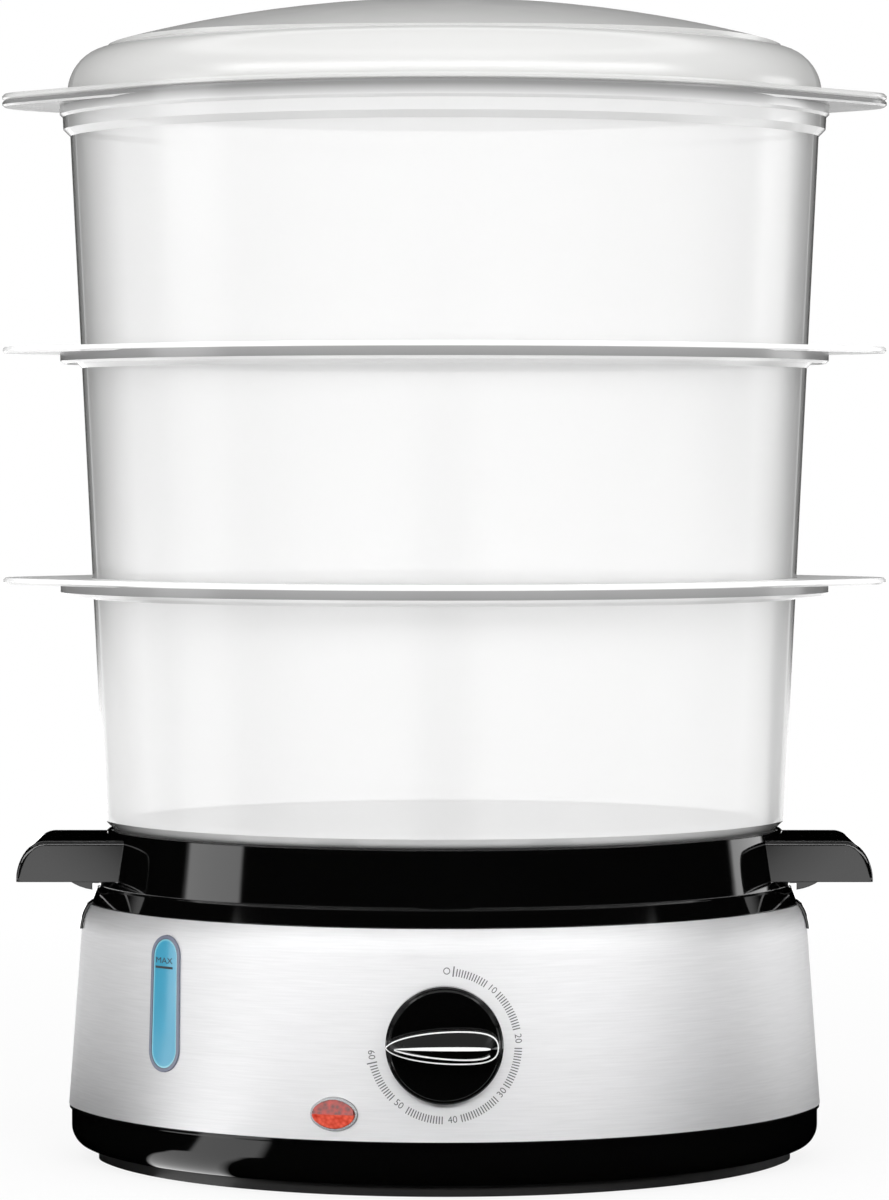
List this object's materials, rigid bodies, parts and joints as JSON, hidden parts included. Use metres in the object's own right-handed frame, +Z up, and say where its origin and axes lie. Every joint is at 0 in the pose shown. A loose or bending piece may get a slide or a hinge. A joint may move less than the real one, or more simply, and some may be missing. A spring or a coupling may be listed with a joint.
{
  "type": "electric food steamer",
  "caption": "Oval electric food steamer: brushed steel base with a round timer knob, pilot light and water window, black drip tray, clear stacked baskets and a domed lid.",
  "frame": {"origin": "middle of the foot rim where it stands on the table", "axes": "+Z up, +X to the right ear seen from the front, controls face -Y"},
  "size_m": [0.3042, 0.233, 0.3987],
  "materials": {
    "black_plastic": "moulded, glossy",
    "brushed_steel": "horizontal brushing",
    "clear_plastic": "clear, slightly smoky, glossy",
    "black_rubber": "matte",
    "silicone": "matte",
    "cast_aluminium": "cast and turned",
    "zinc_steel": "zinc plated",
    "grey_plastic": "moulded, matte",
    "brown_bakelite": "moulded, matte",
    "white_plastic": "moulded, matte",
    "knob_plastic": "moulded, high gloss",
    "bell_chrome": "bright plated",
    "shaft_brass": "turned",
    "red_lens": "transparent red, glossy",
    "bezel_chrome": "bright plated",
    "lamp_glass": "clear",
    "window_blue": "transparent blue, glossy",
    "window_grey": "moulded, satin"
  },
  "bodies": {
    "base": {"base_housing": "black_plastic", "bottom_plate": "black_plastic", "rubber_feet": "black_rubber", "base_screws": "zinc_steel", "steel_band": "brushed_steel", "top_ring": "black_plastic", "water_tank": "grey_plastic", "heater_seal": "silicone", "heater": "cast_aluminium", "heater_strap": "zinc_steel", "heater_screws": "zinc_steel", "thermal_cutout": "brown_bakelite", "terminal_block": "white_plastic", "cable_inlet": "black_rubber", "timer_bracket": "zinc_steel", "timer_screws": "zinc_steel", "timer": "grey_plastic", "timer_bell": "bell_chrome", "pilot_lens": "red_lens", "pilot_bezel": "bezel_chrome", "pilot_lamp": "lamp_glass", "window_frame": "window_grey", "water_window": "window_blue", "gauge_pipe": "grey_plastic"},
    "timer_knob": {"timer_knob": "knob_plastic", "timer_shaft": "shaft_brass"},
    "drip_tray": {"drip_tray": "black_plastic"},
    "basket_1": {"basket_1": "clear_plastic"},
    "floor_1": {"floor_1": "clear_plastic"},
    "basket_2": {"basket_2": "clear_plastic"},
    "floor_2": {"floor_2": "clear_plastic"},
    "basket_3": {"basket_3": "clear_plastic"},
    "floor_3": {"floor_3": "clear_plastic"},
    "lid": {"lid": "clear_plastic"}
  },
  "joints": [
    {"name": "timer_turn", "type": "hinge", "parent": "base", "child": "timer_knob", "pos_m": [0, -0.1068, 0.0511], "axis": [0, -1, 0], "range_deg": [0, 268]},
    {"name": "tray_lift", "type": "slide", "parent": "base", "child": "drip_tray", "axis": [0, 0, 1], "range_m": [0, 0.12]},
    {"name": "basket_1_lift", "type": "slide", "parent": "drip_tray", "child": "basket_1", "axis": [0, 0, 1], "range_m": [0, 0.12]},
    {"name": "basket_2_lift", "type": "slide", "parent": "basket_1", "child": "basket_2", "axis": [0, 0, 1], "range_m": [0, 0.12]},
    {"name": "basket_3_lift", "type": "slide", "parent": "basket_2", "child": "basket_3", "axis": [0, 0, 1], "range_m": [0, 0.12]},
    {"name": "lid_lift", "type": "slide", "parent": "basket_3", "child": "lid", "axis": [0, 0, 1], "range_m": [0, 0.12]},
    {"name": "floor_1_lift", "type": "slide", "parent": "basket_1", "child": "floor_1", "axis": [0, 0, 1], "range_m": [0, 0.06]},
    {"name": "floor_2_lift", "type": "slide", "parent": "basket_2", "child": "floor_2", "axis": [0, 0, 1], "range_m": [0, 0.06]},
    {"name": "floor_3_lift", "type": "slide", "parent": "basket_3", "child": "floor_3", "axis": [0, 0, 1], "range_m": [0, 0.06]}
  ]
}
